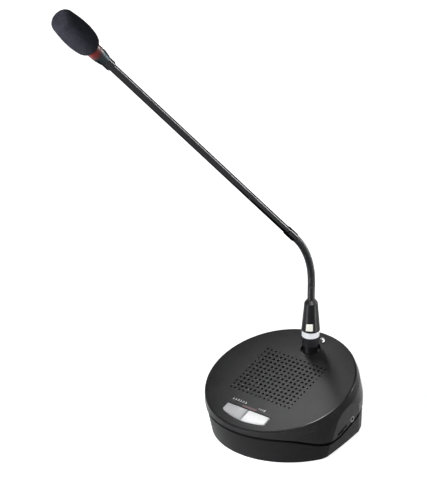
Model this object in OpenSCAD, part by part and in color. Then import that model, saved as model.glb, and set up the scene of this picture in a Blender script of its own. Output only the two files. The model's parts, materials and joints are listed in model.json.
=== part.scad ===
// Conference microphone unit: a round desk base with a tilted deck, a loudspeaker grille and
// two keys, and a plug-in microphone on a bendable gooseneck with a lamp ring and a windscreen.
// Millimetres. +X is the unit's right, +Y its back, +Z up. The origin is on the desk.

/* [Deck and shells] */
// Radius of the round deck
deck_r = 75; // [72:0.5:80]
// Tilt of the deck, front edge low
deck_tilt = 16.7; // [14:0.1:18]
// Height of the deck's centre above the desk
deck_h = 58; // [56:0.5:64]
// Wall thickness of both shells
wall = 2.4; // [1.8:0.1:2.8]
// Rounding of the deck's edge
rim_round = 1.8; // [1:0.1:2.2]
// How far the upper wall flares out below the deck's edge
flare = 1.4; // [0.5:0.1:2]
// Depth below the deck at which the flare ends
flare_h = 10; // [6:0.5:14]
// Radius of the upright outline that trims the back
plan_r = 77.4; // [76:0.2:80]
// How far that outline's centre sits behind the deck's centre
plan_y = 5; // [3:0.5:7]
// Half width between the flattened sides, at the bottom
flat_low = 69.5; // [67:0.5:72]
// Half width between the flattened sides, at the height of the deck's centre
flat_high = 79.8; // [78:0.2:82]
// Radius of the flattened sides, seen from above
flat_r = 600; // [400:20:900]

/* [Parting line] */
// Height of the parting line along the front, with the deck at its usual height
seam_front_z = 31; // [28:0.5:32]
// Place behind which the parting line starts to fall, as a distance in front of the centre
seam_fall_y = 52.3; // [46:0.5:58]
// Place of its lowest point, as a distance in front of the centre
seam_low_y = 10.8; // [6:0.2:14]
// Height of the corner at its lowest point, before rounding
seam_low_z = 14.8; // [13:0.2:17]
// Rounding where it starts to fall
seam_fall_round = 60; // [30:1:70]
// Rounding at the lowest point
seam_low_round = 70; // [40:1:80]
// Open gap between the two shells
seam_gap = 2.6; // [1.6:0.1:3.2]
// How much wider that gap is where the parting line rises along the sides
side_gap = 2.4; // [1:0.1:2.8]
// How far the lower shell sits in from the upper one
seam_step = 0.6; // [0.4:0.1:1.4]
// Thickness of the lower shell's edge outside its groove
seam_edge = 0.8; // [0.6:0.1:1.2]
// Depth of the groove behind that edge
groove_h = 2.2; // [1.6:0.1:3]
// Height of the inner lip above the seam
lip_h = 1.2; // [0.8:0.1:2]
// Thickness of the inner lip
lip_t = 1.2; // [0.8:0.1:1.6]

/* [Grille] */
// Pitch of the square pattern of holes
hole_pitch = 5.05; // [4.6:0.05:5.6]
// Diameter of the holes
hole_d = 2.9; // [1.8:0.1:3.4]
// Diameter of the outermost row of holes
edge_hole_d = 2.2; // [1:0.1:2.6]
// Offset of the pattern to the right of the deck's centre
grille_u = -3.2; // [-4:0.2:0]
// Offset of the pattern behind the deck's centre
grille_v = 0.7; // [-1:0.1:2]

/* [Keys and indicator] */
// Width of one key
key_w = 24.8; // [22:0.1:28]
// Offset of the pair of keys to the right of the deck's centre
key_shift = -1; // [-1.5:0.1:1.5]
// Gap between the two keys
key_split = 1.2; // [0.6:0.1:1.6]
// Gap between a key and the deck around it
key_gap = 0.7; // [0.4:0.05:0.8]
// Wider gap behind the keys' straight back edge
key_back_gap = 1.5; // [0.8:0.1:1.8]
// Radius of the keys' curved front edge, round the deck's centre
key_front_r = 64.5; // [62:0.5:66]
// Distance of the keys' straight back edge in front of the deck's centre
key_back = 50.2; // [48:0.2:52]
// How far the keys stand above the deck
key_proud = 1; // [0.6:0.1:1.6]
// Travel of a key
key_travel = 0.8; // [0.4:0.1:1.2]
// Length of the red indicator window
lamp_len = 17; // [12:0.5:22]
// Width of the indicator window
lamp_w = 2; // [1.4:0.1:2.2]
// Distance of the window in front of the deck's centre
lamp_v = 47; // [46.5:0.1:47.2]

/* [Side controls] */
// Radius of the volume wheel
wheel_r = 9; // [8:0.2:10]
// Thickness of the volume wheel
wheel_t = 2.6; // [2:0.1:3]
// How far the wheel stands out of the side
wheel_proud = 0.8; // [0.4:0.1:1.4]
// Place of the wheel in front of the deck's centre, along the deck
wheel_v = 5.2; // [3:0.2:7]
// Rise of the side controls above the parting line, square to the deck
control_n = 4.2; // [3.8:0.1:5]
// Place of the earphone jack behind the deck's centre, along the deck
jack_v = 12.7; // [11.5:0.2:16]
// Radius of the earphone jack's bore
jack_bore_r = 1.8; // [1.6:0.05:1.9]
// Radius of the earphone jack's nose
jack_nose_r = 3; // [2.6:0.1:3.2]

/* [Microphone plug and socket] */
// Distance of the socket's axis behind the deck's centre
plug_y = 48; // [46:0.2:50]
// Radius of the plug's barrel
barrel_r = 7.5; // [7:0.1:7.8]
// Wall of the plug's barrel
barrel_wall = 1.2; // [0.9:0.1:1.4]
// Radius of the ribbed collar's top
collar_r = 8.4; // [8:0.1:8.8]
// Radius of the pale colour band
band_r = 8.6; // [8.2:0.1:9]
// Height of the colour band
band_h = 6.1; // [4:0.1:8]
// Radius of the boot at its foot
boot_low_r = 9.2; // [8.8:0.1:9.8]
// Radius of the boot at its shoulder
boot_top_r = 6.65; // [5.9:0.05:7.2]
// Length of the boot from foot to shoulder
boot_len = 29.9; // [26:0.1:34]
// Height of the boot's chamfered shoulder
boot_cap_h = 3.2; // [2:0.2:4]
// Radius of the contact pins
pin_r = 1.2; // [1:0.05:1.3]

/* [Gooseneck and stem] */
// Radius of the gooseneck
neck_r = 3.75; // [3.4:0.05:3.9]
// Length of the gooseneck's bendable part
neck_len = 77; // [70:0.5:86]
// Straight length above the boot, before the bend starts
neck_straight = 19.5; // [14:0.5:26]
// Lean of the stem from the vertical
stem_lean = 42.6; // [30:0.2:50]
// Turn of the lean from straight ahead, to the left
lean_yaw = 15; // [0:1:25]
// Radius of the stem tube
stem_r = 3.7; // [3.4:0.05:3.8]
// Wall of the stem tube
stem_wall = 0.6; // [0.4:0.05:0.9]
// Length of the bare stem between the coupling and the neck sleeve
stem_len = 297; // [200:1:340]
// Radius of the coupling between gooseneck and stem
coupling_r = 4.4; // [4.1:0.05:5]
// Length of the coupling
coupling_len = 13; // [9:0.5:16]

/* [Microphone head] */
// Radius of the sleeve at the stem's end
sleeve_r = 5.1; // [4.6:0.05:5.4]
// Length of the sleeve
sleeve_len = 10; // [6:0.5:12]
// Radius of the neck cone at the sleeve
cone_low_r = 5.75; // [5.45:0.05:6.2]
// Radius of the neck cone at the lamp ring
cone_top_r = 7.4; // [7:0.05:7.6]
// Length of the neck cone
cone_len = 10.5; // [8:0.5:14]
// Radius of the lamp ring at the windscreen
ring_r = 7.7; // [7.6:0.05:8]
// Length of the lamp ring
ring_len = 10; // [8:0.2:14]
// Radius of the foam windscreen at its widest
foam_r = 13.2; // [12:0.1:14.5]
// Radius of the windscreen near its end
foam_tip_r = 11.6; // [10.5:0.1:12.8]
// Length of the windscreen
foam_len = 49; // [44:0.5:56]
// Radius of the windscreen's foot
foam_foot_r = 8.6; // [8:0.1:9.4]

/* [Underside] */
// Height of the rubber foot, which lifts the shell off the desk
foot_h = 2; // [1.5:0.1:3]
// Outer radius of the rubber foot
foot_r = 59; // [57:0.5:60]
// Width of the rubber foot
foot_w = 5; // [4:0.2:6]
// Thickness of the floor
floor_t = 2.4; // [2:0.1:3]
// Width of the battery bay
bay_w = 62; // [56:1:64]
// Length of the battery bay from front to back
bay_l = 40; // [36:1:42]
// Height of the battery pack
battery_h = 10; // [8:0.5:10.5]

/* [Hidden] */
$fn = 96;

// General clearances: a fixed fit, a running gap and a cut's overshoot
fit = 0.05;
gap = 0.3;
over = 1;

// Shell values
upper_r = deck_r + flare;
body_depth = deck_r + deck_h;
round_steps = 6;
side_lean = (flat_high - flat_low) / (deck_h - foot_h);
side_y = -44;
corner_r = 120;
front_corner_angle = -12;
front_corner_out = 0.8;
front_corner_lean = 7.9;
rear_corner_angle = 23;
rear_corner_y = 23;
rear_corner_out = 6;
rear_corner_lean = 5;
usual_deck_h = 58;
seam_front = seam_front_z + deck_h - usual_deck_h;
lip_clear = 1;
inside = seam_step + wall + lip_t + lip_clear;
floor_z = foot_h + floor_t;
seam_back_y = 100;

// Case screw posts, as [x, y] in plan
post_r = 4.5;
post_pilot_r = 1.2;
post_seat_z = 20;
post_out = 1;
post_circle_r = min(plan_r, upper_r + post_out);
front_post_in = 14.4;
front_post_angle = -43;
rear_post_in = 10;
rear_post_angle = 49;
front_post = [0, plan_y] + (post_circle_r - front_post_in) * [cos(front_post_angle), sin(front_post_angle)];
rear_post = [0, plan_y] + (post_circle_r - rear_post_in) * [cos(rear_post_angle), sin(rear_post_angle)];
posts = [for (p = [front_post, rear_post], s = [-1, 1]) [s * p[0], p[1]]];
screw_r = 1.15;
screw_head_r = 2.6;
screw_head_h = 1.8;
screw_len = 26;
screw_recess = 0.4;
cross_w = 0.7;
cross_len = 3;
cross_deep = 0.7;

// Grille values
hole_columns = 15;
hole_rows = 13;
grille_half = hole_pitch * [hole_columns - 1, hole_rows - 1] / 2;
cloth_t = 0.6;
cloth_margin = 3;

// Loudspeaker values, depths below the deck
speaker_r = 36;
speaker_lip_w = 4;
speaker_lip_t = 1.6;
speaker_top = wall + cloth_t;
basket_h = 15;
basket_low_r = 16;
basket_t = 1.2;
magnet_r = 15;
magnet_h = 8;
cone_edge_gap = 0.4;
cone_sink = 1;
cone_top_open_r = speaker_r - speaker_lip_w - cone_edge_gap;
cone_apex_r = 8;
basket_bore_r = 6;
cone_t = 0.6;
cone_drop = 11;

// Key, key board and indicator values, depths below the deck
key_flange = 1;
key_flange_t = 1.2;
key_stop = 0.1;
key_flange_top = wall + key_stop;
key_edge = 0.6;
board_t = 1.6;
switch_size = 6;
switch_h = 3.4;
switch_button_h = 1;
switch_button_r = 1.7;
plunger_r = 2;
plunger_len = 0.5;
plunger_bottom = key_flange_top + key_flange_t + plunger_len;
switch_top = plunger_bottom + key_travel + key_stop;
key_board_top = switch_top + switch_h;
key_board_gap = 4;
key_board_r = deck_r - wall - key_board_gap;
key_board_w = 74;
key_board_back = lamp_v - lamp_w;
key_post_u = 33;
key_post_v = 55;
key_post_r = 2.4;
key_u = (key_w + key_split) / 2;
key_plunger_v = (key_back + key_front_r) / 2 - over;
lamp_u = -3;
lamp_proud = 0.1;
led_size = 3;

// Main board, parallel to the deck, below the side controls
seam_n = (deck_h - seam_low_y * tan(deck_tilt) - seam_low_z) * cos(deck_tilt);
control_depth = seam_n - control_n;
board_drop = 4.5;
board_n = control_depth + board_drop;
board_front = -40;
board_back = 37;
board_left = -52;
board_right = 64.5;
board_post_r = 3;
board_posts = [[-44, -24], [44, -24], [-48, 34], [48, 34]];

// Side controls
wheel_hub_r = 2;
wheel_run = 0.05;
wheel_notches = 30;
wheel_notch_r = 0.45;
pot_r = 3;
pot_h = 2.6;
slot_clear = 0.45;
jack_drop = 0.1;
jack_n = control_depth + jack_drop;
jack_depth = 14;
jack_body = [8.4, 7.2, 7.2];
jack_proud = 0.3;

// Socket and plug heights above the desk
socket_axis_z = deck_h + plug_y * tan(deck_tilt);
socket_ring = 2.4;
socket_tube_wall = 1.4;
socket_sink = 0.6;
socket_depth = 15;
socket_bore_r = barrel_r + socket_ring;
socket_tube_r = socket_bore_r + socket_tube_wall;
socket_top = socket_axis_z - socket_bore_r * tan(deck_tilt) - socket_sink;
socket_seat_z = socket_top - socket_depth;
socket_flange_t = 3;
socket_tail = 10;
socket_low = socket_seat_z - socket_tail;
well_depth = 13;
well_bottom = socket_top - well_depth;
insert_gap = 0.5;
insert_sink = 3;
insert_r = barrel_r - barrel_wall - insert_gap;
insert_top = socket_top - insert_sink;
pin_circle_r = 3.4;
pin_angles = [30, 150, 270];
contact_r = 0.9;
contact_tail = 6;
collar_rise = 8.1;
collar_low = socket_top + collar_rise;
collar_h = 9.8;
collar_nose = 0.6;
collar_rib_end = 2;
band_z = collar_low + collar_h;
boot_z = band_z + band_h;
boot_top = boot_z + boot_len;
neck_z = boot_top + boot_cap_h;
boot_bore_r = neck_r + fit;
barrel_in_boot = 6;
barrel_clear = 0.6;
barrel_top = boot_z + barrel_in_boot;
boot_edge = 0.5;
carrier_t = 6;
carrier_gap = 1;
carrier_z = insert_top + carrier_gap;
pin_len = 8;
collar_ribs = 28;
collar_rib_r = 0.35;

// Release tab, beside the socket
tab_angle = 70;
tab_w = 4.2;
tab_t = 3;
tab_proud = 3;
tab_foot = 1.2;
tab_round = 0.5;
tab_drop = wall / cos(deck_tilt) + (tab_w / 2 + tab_foot) * tan(deck_tilt) + fit;
tab_reach = socket_tube_r + tab_t / 2 + tab_foot + gap;

// Gooseneck chain
links = 8;
link_pitch = neck_len / links;
bend_r = (neck_len - neck_straight) / (stem_lean * PI / 180);
cup_r = neck_r + gap;
anchor_depth = 14;
coupling_start = 2;
stem_in_coupling = 6;
stem_start = coupling_start + coupling_len - stem_in_coupling;
stem_end_gap = 2;
sleeve_t = coupling_start + coupling_len + stem_len;
cone_at = sleeve_t + sleeve_len;
ring_at = cone_at + cone_len;
foam_at = ring_at + ring_len;
capsule_r = 5.4;
capsule_len = 16;
capsule_gap = 0.4;
foam_taper = 22;
foam_dome = 6.5;
foam_flat_r = 5;
foam_steps = 8;
foam_edge = 1;

// Battery bay and cover
bay_y = 15;
cover_t = 1.6;
cover_clear = 0.25;
cover_lip = 2.5;
cover_screw_out = 4;
cover_screw_y = bay_y + bay_l / 2 + cover_lip + cover_screw_out;
cover_tab_r = 6;
cover_head_h = 1;
battery_clear = 1.5;
foot_sink = 0.8;
foot_follow = 0.9;
usual_outline_r = 77.4;
foot_ring_r = foot_r + foot_follow * (post_circle_r - usual_outline_r);

// Deck height at a place in plan
function deck_z(y) = deck_h + y * tan(deck_tilt);
// Half width between the flattened sides at a place and a height
function flat_x(y, z) =
    flat_low + (z - foot_h) * side_lean - flat_r + sqrt(pow(flat_r, 2) - pow(y - side_y, 2));
// Half width of the upper wall at a place given along the deck and below it
function wall_x(v, n) = min(sqrt(pow(upper_r, 2) - pow(v, 2)),
    flat_x(v * cos(deck_tilt) + n * sin(deck_tilt), deck_point_z(v, n)));
// Height of a place given along the deck and below it
function deck_point_z(v, n) = deck_h + v * sin(deck_tilt) - n * cos(deck_tilt);
// Points of an arc about a centre, from one angle to another
function arc(c, r, a0, a1, steps) =
    [for (i = [0:steps]) let (a = a0 + (a1 - a0) * i / steps) c + r * [cos(a), sin(a)]];

// Parting line in side view: level, then falling, then rising parallel to the deck.
fall_angle = atan2(seam_low_z - seam_front, seam_fall_y - seam_low_y);
fall_tangent = seam_fall_round * tan(-fall_angle / 2);
low_turn = deck_tilt - fall_angle;
low_tangent = seam_low_round * tan(low_turn / 2);
fall_dir = [cos(fall_angle), sin(fall_angle)];
rise_dir = [cos(deck_tilt), sin(deck_tilt)];
fall_corner = [-seam_fall_y, seam_front];
fall_centre = fall_corner + [-fall_tangent, -seam_fall_round];
// Outline of all that lies below the parting line, its rising part lowered by a drop
function seam_outline(drop) =
    let (corner = [-seam_low_y, seam_low_z] + fall_dir * drop / sin(low_turn),
        centre = corner + rise_dir * low_tangent
            + seam_low_round * [-sin(deck_tilt), cos(deck_tilt)],
        end = corner + rise_dir * (seam_back_y + seam_low_y) / cos(deck_tilt))
    concat(
        [[-seam_back_y, -over], [-seam_back_y, seam_front]],
        arc(fall_centre, seam_fall_round, 90, 90 + fall_angle, 5),
        arc(centre, seam_low_round, 270 + fall_angle, 270 + deck_tilt, 8),
        [end, [end[0], -over]]);

// Lean of a gooseneck link, and the joint points along the chain, as [ahead, up]
function link_lean(i) =
    min(stem_lean, max(0, ((i - 0.5) * link_pitch - neck_straight) / bend_r * 180 / PI));
function joint_point(i) = i == 0
    ? [0, neck_z]
    : joint_point(i - 1) + link_pitch * [sin(link_lean(i)), cos(link_lean(i))];

// Carries children from the deck's own frame, centre at the top of the deck
module on_deck() {
    translate([0, 0, deck_h]) rotate([deck_tilt, 0, 0]) children();
}

// Carries children from the plug's axis
module on_plug() {
    translate([0, plug_y, 0]) children();
}

// Carries children onto the chain: origin at joint i, +Z along the given lean
module on_chain(i, lean) {
    p = joint_point(i);
    on_plug() rotate([0, 0, -lean_yaw]) translate([0, -p[0], p[1]]) rotate([lean, 0, 0])
        children();
}

// Carries children onto the stem, a distance beyond the last joint
module on_stem(t) {
    on_chain(links, stem_lean) translate([0, 0, t]) children();
}

// Everything below the parting line, moved up or down, with its rising part lowered by a drop
module below_seam(shift, drop) {
    rotate([90, 0, 90]) linear_extrude(height = 4 * deck_r, center = true)
        translate([0, shift]) polygon(seam_outline(drop));
}

// Solid body of the base, with its sides and top set in by the given amounts
module body_block(side, top) {
    edge_r = max(rim_round - side, 0.1);
    rim = deck_r - side;
    intersection() {
        on_deck() rotate_extrude() polygon(concat(
            [[0, -body_depth], [upper_r - side, -body_depth], [upper_r - side, -flare_h]],
            arc([rim - edge_r, -top - edge_r], edge_r, 0, 90, round_steps),
            [[0, -top]]));
        translate([0, plan_y, 0]) cylinder(r = plan_r - side, h = body_depth);
        side_walls(side);
        mirror([1, 0, 0]) side_walls(side);
    }
}

// The flattened right side and the softer corners before and behind it, set in by an amount
module side_walls(side) {
    intersection() {
        leaning_wall(side, 0, side_y, flat_low, atan(side_lean), flat_r);
        leaning_wall(side, front_corner_angle, 0, flat_low + front_corner_out, front_corner_lean,
            corner_r);
        leaning_wall(side, rear_corner_angle, rear_corner_y, flat_low + rear_corner_out,
            rear_corner_lean, flat_r);
    }
}

// Large cylinder leaning outwards, its wall at a given reach where the shell ends at the bottom
module leaning_wall(side, turn, y, reach, lean, r) {
    rotate([0, 0, turn]) translate([reach - r / cos(lean), y, foot_h]) rotate([0, lean, 0])
        translate([0, 0, -body_depth]) cylinder(r = r - side, h = 3 * body_depth);
}

// Plan of one key or of the opening, grown by an amount and by another along the back edge;
// side is -1 or 1, 0 for both
module key_plan(side, grow, back) {
    reach = key_split / 2 + key_w;
    left = side > 0 ? key_split / 2 : -reach;
    right = side < 0 ? -key_split / 2 : reach;
    intersection() {
        circle(r = key_front_r + grow);
        translate([left - grow + key_shift, -key_front_r - over])
            square([right - left + 2 * grow, key_front_r + over - key_back + back]);
    }
}

// Round holes of the grille in a square pattern, smaller along the outside
module grille_holes() {
    for (i = [0:hole_columns - 1], j = [0:hole_rows - 1]) {
        edge = i == 0 || j == 0 || i == hole_columns - 1 || j == hole_rows - 1;
        translate([grille_u + i * hole_pitch - grille_half[0],
            grille_v + j * hole_pitch - grille_half[1]])
            circle(d = edge ? edge_hole_d : hole_d, $fn = 24);
    }
}

wheel_u = wall_x(-wheel_v, control_depth) + wheel_proud - wheel_r;
jack_end = wall_x(jack_v, jack_n) + jack_proud;

// Release tab's frame: beside the socket, standing upright
module on_tab() {
    on_plug() rotate([0, 0, tab_angle]) translate([tab_reach, 0, 0]) children();
}
tab_y = plug_y + tab_reach * sin(tab_angle);
tab_base_z = deck_z(tab_y);

module top_cover() {
    color("#3a3a3d") difference() {
        union() {
            difference() {
                body_block(0, 0);
                body_block(wall, wall);
                below_seam(0, 0);
            }
            intersection() {
                body_block(wall / 2, wall / 2);
                union() {
                    on_plug() translate([0, 0, socket_seat_z])
                        cylinder(r = socket_tube_r, h = body_depth);
                    for (p = posts) translate([p[0], p[1], post_seat_z])
                        cylinder(r = post_r, h = body_depth);
                }
            }
            on_deck() for (s = [-1, 1]) translate([s * key_post_u, -key_post_v, -key_board_top])
                cylinder(r = key_post_r, h = key_board_top - wall / 2);
        }
        on_deck() translate([0, 0, -wall - over]) linear_extrude(wall + 2 * over) grille_holes();
        on_deck() translate([0, 0, -wall - over]) linear_extrude(wall + 2 * over)
            key_plan(0, key_gap, key_back_gap);
        on_deck() translate([lamp_u - lamp_len / 2, -lamp_v - lamp_w / 2, -wall - over])
            cube([lamp_len, lamp_w, wall + 2 * over]);
        on_plug() translate([0, 0, socket_seat_z - over])
            cylinder(r = socket_bore_r, h = body_depth);
        for (p = posts) translate([p[0], p[1], post_seat_z - over])
            cylinder(r = post_pilot_r, h = screw_len);
        wheel_slot();
        on_deck() translate([jack_end - 3 * wall, jack_v, -jack_n]) rotate([0, 90, 0])
            cylinder(r = jack_nose_r + gap, h = 4 * wall);
        on_tab() translate([0, 0, tab_base_z - 3 * wall]) tab_block(gap, 6 * wall);
    }
}

// Slot in the side for the volume wheel
module wheel_slot() {
    length = 2 * sqrt(pow(wheel_r + gap, 2) - pow(wheel_r - wheel_proud - wall - over, 2));
    on_deck()
        translate([wheel_u + wheel_r / 2, -wheel_v - length / 2,
            -control_depth - wheel_t / 2 - slot_clear])
            cube([wheel_r, length, wheel_t + 2 * slot_clear]);
}

// Upright block of the release tab, grown all round, with rounded outer edge
module tab_block(grow, h) {
    linear_extrude(h) union() {
        translate([-tab_t / 2 - grow, -tab_w / 2 - grow])
            square([tab_t / 2 + grow, tab_w + 2 * grow]);
        intersection() {
            circle(d = tab_w + 2 * grow);
            translate([-over / 2, -tab_w]) square([tab_t / 2 + grow + over / 2, 2 * tab_w]);
        }
    }
}

module bottom_shell() {
    color("#343437") difference() {
        union() {
            difference() {
                intersection() {
                    body_block(seam_step, 0);
                    below_seam(-seam_gap, side_gap);
                }
                intersection() {
                    body_block(seam_step + wall, wall);
                    translate([-2 * deck_r, -2 * deck_r, floor_z])
                        cube([4 * deck_r, 4 * deck_r, body_depth]);
                }
                translate([-2 * deck_r, -2 * deck_r, foot_h - body_depth])
                    cube([4 * deck_r, 4 * deck_r, body_depth]);
                seam_groove();
            }
            lip();
            for (p = posts) translate([p[0], p[1], foot_h])
                cylinder(r = post_r, h = post_seat_z - foot_h);
            intersection() {
                for (p = board_posts) translate([p[0], p[1], foot_h])
                    cylinder(r = board_post_r, h = body_depth);
                on_deck() translate([-2 * deck_r, -2 * deck_r, -body_depth - board_n - board_t])
                    cube([4 * deck_r, 4 * deck_r, body_depth]);
            }
        }
        for (p = posts) translate([p[0], p[1], 0]) {
            cylinder(r = screw_r + gap / 2, h = post_seat_z + over);
            cylinder(r = screw_head_r + gap, h = foot_h + screw_head_h + screw_recess);
        }
        translate([-bay_w / 2, bay_y - bay_l / 2, 0]) cube([bay_w, bay_l, floor_z + over]);
        on_deck() translate([jack_end - jack_depth, jack_v, -jack_n]) rotate([0, 90, 0])
            cylinder(r = jack_nose_r + gap, h = jack_depth);
        cover_plan(cover_clear, foot_h - over, cover_t + over);
        translate([0, cover_screw_y, 0]) cylinder(r = post_pilot_r, h = floor_z + over);
        translate([0, plan_y, 0]) difference() {
            cylinder(r = foot_ring_r + fit, h = foot_h + foot_sink);
            translate([0, 0, -over])
                cylinder(r = foot_ring_r - foot_w - fit, h = foot_h + foot_sink + 2 * over);
        }
    }
}

// Groove along the lower shell's top, between its outer edge and the lip
module seam_groove() {
    difference() {
        body_block(seam_step + seam_edge, wall);
        body_block(wall + gap, wall);
        below_seam(-seam_gap - groove_h, side_gap);
    }
}

// Inner lip of the lower shell, which covers the seam from inside
module lip() {
    difference() {
        intersection() {
            body_block(wall + gap, wall);
            below_seam(lip_h, 0);
        }
        body_block(wall + gap + lip_t, wall);
        below_seam(-seam_gap - groove_h - 2 * lip_h, side_gap);
    }
}

// Battery cover's outline with its screw tab, grown by an amount
module cover_plan(grow, z, h) {
    translate([-bay_w / 2 - cover_lip - grow, bay_y - bay_l / 2 - cover_lip - grow, z])
        cube([bay_w + 2 * cover_lip + 2 * grow, bay_l + 2 * cover_lip + 2 * grow, h]);
    translate([0, cover_screw_y, z]) cylinder(r = cover_tab_r + grow, h = h);
}

module rubber_foot() {
    color("#1c1c1e") translate([0, plan_y, 0]) difference() {
        cylinder(r = foot_ring_r, h = foot_h + foot_sink);
        translate([0, 0, -over])
            cylinder(r = foot_ring_r - foot_w, h = foot_h + foot_sink + 2 * over);
    }
}

module case_screws() {
    color("#8c8c90") for (p = posts) translate([p[0], p[1], foot_h + screw_recess])
        screw(screw_head_h, screw_len);
}

// One screw, point up, with a cross recess in its head
module screw(head_h, length) {
    difference() {
        union() {
            cylinder(r = screw_head_r, h = head_h);
            cylinder(r = screw_r, h = length);
        }
        for (a = [0, 90]) rotate(a) translate([-cross_len / 2, -cross_w / 2, -over])
            cube([cross_len, cross_w, over + cross_deep]);
    }
}

module battery_pack() {
    color("#4b6a86")
        translate([-bay_w / 2 + battery_clear, bay_y - bay_l / 2 + battery_clear, foot_h + cover_t])
            cube([bay_w - 2 * battery_clear, bay_l - 2 * battery_clear, battery_h]);
}

module battery_cover() {
    color("#343437") difference() {
        cover_plan(0, foot_h, cover_t);
        translate([0, cover_screw_y, foot_h - over])
            cylinder(r = screw_r + gap / 2, h = cover_t + 2 * over);
    }
}

module cover_screw() {
    color("#8c8c90") translate([0, cover_screw_y, foot_h - cover_head_h])
        screw(cover_head_h, cover_head_h + floor_t - fit);
}

module main_board() {
    color("#2f5d3a") intersection() {
        on_deck() translate([board_left, board_front, -board_n - board_t])
            cube([board_right - board_left, board_back - board_front, board_t]);
        body_block(inside, wall);
    }
}

module volume_pot() {
    color("#77797d") on_deck() translate([wheel_u, -wheel_v, -board_n]) {
        cylinder(r = pot_r, h = pot_h);
        cylinder(r = wheel_hub_r, h = board_drop + wheel_t / 2);
    }
}

module volume_wheel() {
    color("#1f1f21") on_deck() translate([wheel_u, -wheel_v, -control_depth - wheel_t / 2])
        linear_extrude(wheel_t) difference() {
            circle(r = wheel_r);
            circle(r = wheel_hub_r + wheel_run);
            for (i = [0:wheel_notches - 1]) rotate(i * 360 / wheel_notches)
                translate([wheel_r, 0]) circle(r = wheel_notch_r, $fn = 16);
        }
}

module earphone_jack() {
    color("#2a2a2c") on_deck() translate([jack_end, jack_v, -jack_n]) difference() {
        union() {
            translate([-jack_depth - over, -jack_body[1] / 2, jack_n - board_n]) cube(jack_body);
            translate([-jack_depth, 0, 0]) rotate([0, 90, 0])
                cylinder(r = jack_nose_r, h = jack_depth);
        }
        translate([-jack_depth + over, 0, 0]) rotate([0, 90, 0])
            cylinder(r = jack_bore_r, h = jack_depth);
    }
}

module speaker_frame() {
    low = speaker_top + speaker_lip_t + basket_h;
    color("#55575b") on_deck() rotate_extrude() polygon([
        [speaker_r, -speaker_top], [speaker_r, -speaker_top - speaker_lip_t],
        [speaker_r - speaker_lip_w + basket_t, -speaker_top - speaker_lip_t],
        [basket_low_r, -low], [basket_bore_r, -low], [basket_bore_r, -low + basket_t],
        [basket_low_r - basket_t, -low + basket_t],
        [speaker_r - speaker_lip_w, -speaker_top - speaker_lip_t],
        [speaker_r - speaker_lip_w, -speaker_top]]);
}

module speaker_cone() {
    z = -speaker_top - cone_sink;
    color("#222224") on_deck() rotate_extrude() polygon([
        [cone_top_open_r, z], [cone_top_open_r, z - cone_t], [cone_apex_r, z - cone_drop],
        [0, z - cone_drop], [0, z - cone_drop + cone_t], [cone_apex_r, z - cone_drop + cone_t]]);
}

module speaker_magnet() {
    color("#6a6c70") on_deck()
        translate([0, 0, -speaker_top - speaker_lip_t - basket_h - magnet_h])
            cylinder(r = magnet_r, h = magnet_h);
}

module grille_cloth() {
    half = grille_half + [cloth_margin, cloth_margin];
    color("#111112") on_deck() translate([grille_u - half[0], grille_v - half[1], -wall - cloth_t])
        cube([2 * half[0], 2 * half[1], cloth_t]);
}

module key_board() {
    color("#2f5d3a") intersection() {
        on_deck() translate([-key_board_w / 2, -key_board_r, -key_board_top - board_t])
            cube([key_board_w, key_board_r - key_board_back, board_t]);
        body_block(wall + key_board_gap, wall);
    }
}

module tact_switches() {
    color("#1b1b1d") on_deck() for (s = [-1, 1])
        translate([s * key_u + key_shift, -key_plunger_v, -key_board_top]) {
            translate([-switch_size / 2, -switch_size / 2, 0])
                cube([switch_size, switch_size, switch_h - switch_button_h]);
            cylinder(r = switch_button_r, h = switch_h);
        }
}

// One key: a cap through the deck, a flange under it and a plunger above its switch
module key_cap(side) {
    on_deck() {
        translate([0, 0, -key_flange_top]) linear_extrude(key_flange_top + key_proud - key_edge)
            key_plan(side, 0, 0);
        translate([0, 0, key_proud - key_edge]) linear_extrude(key_edge)
            key_plan(side, -key_edge / 2, -key_edge / 2);
        translate([0, 0, -key_flange_top - key_flange_t]) linear_extrude(key_flange_t) intersection() {
            key_plan(side, key_gap + key_flange, 0);
            translate([key_shift + (side > 0 ? key_split / 2 : -deck_r - key_split / 2), -deck_r])
                square([deck_r, deck_r]);
        }
        translate([side * key_u + key_shift, -key_plunger_v, -plunger_bottom])
            cylinder(r = plunger_r, h = plunger_bottom - key_flange_top);
    }
}

module key_priority() {
    color("#b0b1b3") key_cap(-1);
}

module key_talk() {
    color("#dedfe0") key_cap(1);
}

module indicator_window() {
    color("#5a2023") on_deck()
        translate([lamp_u - lamp_len / 2 + fit, -lamp_v - lamp_w / 2 + fit, -wall])
            cube([lamp_len - 2 * fit, lamp_w - 2 * fit, wall + lamp_proud]);
}

module indicator_led() {
    color("#c8a8a0") on_deck() for (s = [-1, 1])
        translate([lamp_u + s * lamp_len / 4 - led_size / 2, -lamp_v - lamp_w / 2, -key_board_top])
            cube([led_size, lamp_w, key_board_top - wall - gap]);
}

module mic_socket() {
    color("#1d1d20") on_plug() difference() {
        union() {
            translate([0, 0, socket_low]) cylinder(r = socket_bore_r - gap, h = socket_top - socket_low);
            translate([0, 0, socket_seat_z - socket_flange_t])
                cylinder(r = socket_tube_r, h = socket_flange_t);
        }
        translate([0, 0, well_bottom]) cylinder(r = barrel_r + gap, h = well_depth + over);
        translate([0, 0, socket_low - over]) cylinder(r = insert_r + fit, h = body_depth);
    }
}

// Insulating core of the socket, with a hole for each pin and each contact
module socket_insert() {
    color("#1d1d20") on_plug() difference() {
        translate([0, 0, socket_low]) cylinder(r = insert_r, h = insert_top - socket_low);
        for (a = pin_angles) rotate(a) translate([pin_circle_r, 0, 0]) {
            translate([0, 0, well_bottom]) cylinder(r = pin_r + gap, h = well_depth + over, $fn = 32);
            translate([0, 0, socket_low - over]) cylinder(r = contact_r + fit, h = well_depth, $fn = 32);
        }
    }
}

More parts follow.
